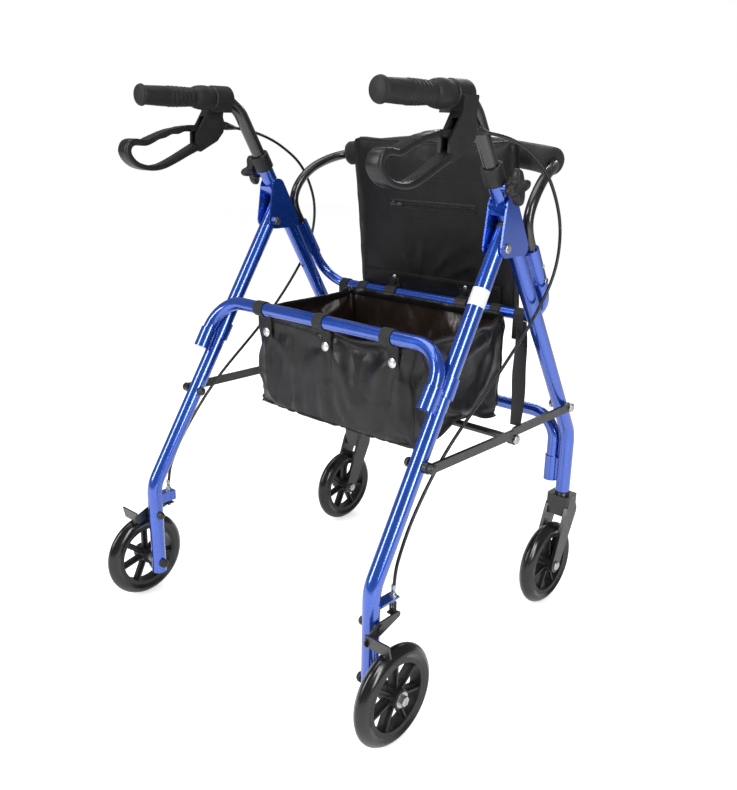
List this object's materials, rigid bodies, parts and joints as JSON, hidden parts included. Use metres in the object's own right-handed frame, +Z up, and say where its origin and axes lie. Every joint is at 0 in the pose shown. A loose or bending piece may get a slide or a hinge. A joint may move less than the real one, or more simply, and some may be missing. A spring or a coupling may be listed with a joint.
{
  "type": "rollator walker",
  "caption": "Folding wheeled walking frame with bent tube legs, adjustable handles, loop brakes, flip-up padded seat, curved backrest and fabric bag.",
  "frame": {"origin": "on the floor, on the centre plane, midway between the rear axles and the caster stems", "axes": "+Y is the walking direction, +X is the user's right and +Z is up"},
  "size_m": [0.6366, 0.6264, 0.8795],
  "materials": {
    "blue_paint": "gloss",
    "black_tube": "satin",
    "zinc": "satin",
    "dark_steel": "satin",
    "bright_steel": "polished",
    "black_plastic": "matte",
    "gloss_black_plastic": "gloss",
    "grey_plastic": "matte",
    "grip_rubber": "satin",
    "tyre_rubber": "satin",
    "foam": "matte",
    "nylon": "matte",
    "bag_nylon": "matte",
    "webbing": "matte",
    "cable_sleeve": "gloss",
    "board": "matte"
  },
  "bodies": {
    "front_frame": {"front_leg_right": "blue_paint", "front_leg_left": "blue_paint", "hinge_brackets": "blue_paint", "hinge_bolts": "zinc", "seat_tube": "blue_paint", "backrest_sleeves": "blue_paint", "lower_front_tube": "blue_paint", "lower_front_sockets": "blue_paint", "leg_collars": "black_plastic", "stem_bushings": "black_plastic", "frame_bolts": "zinc", "backrest_tube": "black_tube", "backrest_roll": "foam", "bag": "bag_nylon", "stay_straps": "webbing", "brake_cables": "cable_sleeve"},
    "rear_frame": {"rear_leg_right": "blue_paint", "rear_leg_left": "blue_paint", "leg_plugs": "grey_plastic", "rear_cross_tube": "blue_paint", "rear_sockets": "blue_paint", "rear_axles": "zinc", "rear_leg_bolts": "dark_steel", "cable_stops": "blue_paint", "brake_springs": "dark_steel", "bag_straps": "webbing"},
    "seat": {"seat_board": "board", "seat_cushion": "nylon", "seat_clips": "black_plastic"},
    "front_links": {"front_links": "dark_steel", "cross_bar": "dark_steel", "mid_bolts": "zinc"},
    "rear_link_right": {"rear_link_right": "dark_steel"},
    "handle_right": {"handle_tube_right": "black_tube", "grip_right": "grip_rubber", "brake_housing_right": "black_plastic"},
    "lever_right": {"brake_lever_right": "gloss_black_plastic"},
    "knob_right": {"height_knob_right": "black_plastic"},
    "arm_right": {"brake_arm_right": "dark_steel"},
    "button_right": {"spring_button_right": "bright_steel"},
    "rear_wheel_right": {"rear_tyre_right": "tyre_rubber", "rear_rim_right": "black_plastic"},
    "caster_right": {"caster_fork_right": "dark_steel", "caster_hardware_right": "zinc"},
    "caster_wheel_right": {"caster_tyre_right": "tyre_rubber", "caster_rim_right": "black_plastic"},
    "rear_link_left": {"rear_link_left": "dark_steel"},
    "handle_left": {"handle_tube_left": "black_tube", "grip_left": "grip_rubber", "brake_housing_left": "black_plastic"},
    "lever_left": {"brake_lever_left": "gloss_black_plastic"},
    "knob_left": {"height_knob_left": "black_plastic"},
    "arm_left": {"brake_arm_left": "dark_steel"},
    "button_left": {"spring_button_left": "bright_steel"},
    "rear_wheel_left": {"rear_tyre_left": "tyre_rubber", "rear_rim_left": "black_plastic"},
    "caster_left": {"caster_fork_left": "dark_steel", "caster_hardware_left": "zinc"},
    "caster_wheel_left": {"caster_tyre_left": "tyre_rubber", "caster_rim_left": "black_plastic"}
  },
  "joints": [
    {"name": "fold", "type": "hinge", "parent": "front_frame", "child": "rear_frame", "pos_m": [0, 0.0095, 0.657], "axis": [1, 0, 0], "range_deg": [0, 33], "deforming": ["bag", "stay_straps", "brake_cables", "bag_straps"]},
    {"name": "front_links_fold", "type": "hinge", "parent": "front_frame", "child": "front_links", "pos_m": [0, 0.22407, 0.3714], "axis": [1, 0, 0], "range_deg": [-55.24, 0.1]},
    {"name": "seat_flip", "type": "hinge", "parent": "front_frame", "child": "seat", "pos_m": [0, 0.16482, 0.529], "axis": [1, 0, 0], "range_deg": [0, 83.2]},
    {"name": "rear_link_right_fold", "type": "hinge", "parent": "front_links", "child": "rear_link_right", "pos_m": [0.2725, 0.046, 0.362], "axis": [1, 0, 0], "range_deg": [-0.1, 121.16]},
    {"name": "handle_right_height", "type": "slide", "parent": "front_frame", "child": "handle_right", "axis": [-0.0172, -0.5132, 0.8581], "range_m": [-0.04, 0.075]},
    {"name": "knob_right_turn", "type": "hinge", "parent": "front_frame", "child": "knob_right", "pos_m": [0.27, 0.00184, 0.743], "axis": [1, 0, 0], "range_deg": [0, 540]},
    {"name": "lever_right_squeeze", "type": "hinge", "parent": "handle_right", "child": "lever_right", "pos_m": [0.256, -0.118, 0.806], "axis": [-1, 0, 0], "range_deg": [0, 18]},
    {"name": "arm_right_swing", "type": "hinge", "parent": "rear_frame", "child": "arm_right", "pos_m": [0.2693, -0.259, 0.167], "axis": [1, 0, 0], "range_deg": [0, 5.9], "deforming": ["brake_springs"]},
    {"name": "button_right_press", "type": "slide", "parent": "front_frame", "child": "button_right", "axis": [-1, 0, 0], "range_m": [0, 0.0035]},
    {"name": "rear_wheel_right_spin", "type": "hinge", "parent": "rear_frame", "child": "rear_wheel_right", "pos_m": [0.295, -0.259, 0.075], "axis": [1, 0, 0], "continuous": true},
    {"name": "caster_right_swivel", "type": "hinge", "parent": "front_frame", "child": "caster_right", "pos_m": [0.25088, 0.259, 0.2], "axis": [0, 0, 1], "continuous": true},
    {"name": "caster_wheel_right_spin", "type": "hinge", "parent": "caster_right", "child": "caster_wheel_right", "pos_m": [0.25088, 0.2174, 0.075], "axis": [1, 0, 0], "continuous": true},
    {"name": "rear_link_left_fold", "type": "hinge", "parent": "front_links", "child": "rear_link_left", "pos_m": [-0.2725, 0.046, 0.362], "axis": [1, 0, 0], "range_deg": [-0.1, 121.16]},
    {"name": "handle_left_height", "type": "slide", "parent": "front_frame", "child": "handle_left", "axis": [0.0172, -0.5132, 0.8581], "range_m": [-0.04, 0.075]},
    {"name": "knob_left_turn", "type": "hinge", "parent": "front_frame", "child": "knob_left", "pos_m": [-0.27, 0.00184, 0.743], "axis": [-1, 0, 0], "range_deg": [0, 540]},
    {"name": "lever_left_squeeze", "type": "hinge", "parent": "handle_left", "child": "lever_left", "pos_m": [-0.256, -0.118, 0.806], "axis": [-1, 0, 0], "range_deg": [0, 18]},
    {"name": "arm_left_swing", "type": "hinge", "parent": "rear_frame", "child": "arm_left", "pos_m": [-0.2693, -0.259, 0.167], "axis": [1, 0, 0], "range_deg": [0, 5.9]},
    {"name": "button_left_press", "type": "slide", "parent": "front_frame", "child": "button_left", "axis": [1, 0, 0], "range_m": [0, 0.0035]},
    {"name": "rear_wheel_left_spin", "type": "hinge", "parent": "rear_frame", "child": "rear_wheel_left", "pos_m": [-0.295, -0.259, 0.075], "axis": [1, 0, 0], "continuous": true},
    {"name": "caster_left_swivel", "type": "hinge", "parent": "front_frame", "child": "caster_left", "pos_m": [-0.25088, 0.259, 0.2], "axis": [0, 0, 1], "continuous": true},
    {"name": "caster_wheel_left_spin", "type": "hinge", "parent": "caster_left", "child": "caster_wheel_left", "pos_m": [-0.25088, 0.2174, 0.075], "axis": [1, 0, 0], "continuous": true}
  ],
  "couplings": [
    {"joint": "front_links_fold", "follows": "fold", "ratio": -1.6709},
    {"joint": "rear_link_right_fold", "follows": "fold", "ratio": 3.6685},
    {"joint": "arm_right_swing", "follows": "lever_right_squeeze", "ratio": 0.32778},
    {"joint": "rear_link_left_fold", "follows": "fold", "ratio": 3.6685},
    {"joint": "arm_left_swing", "follows": "lever_left_squeeze", "ratio": 0.32778}
  ]
}
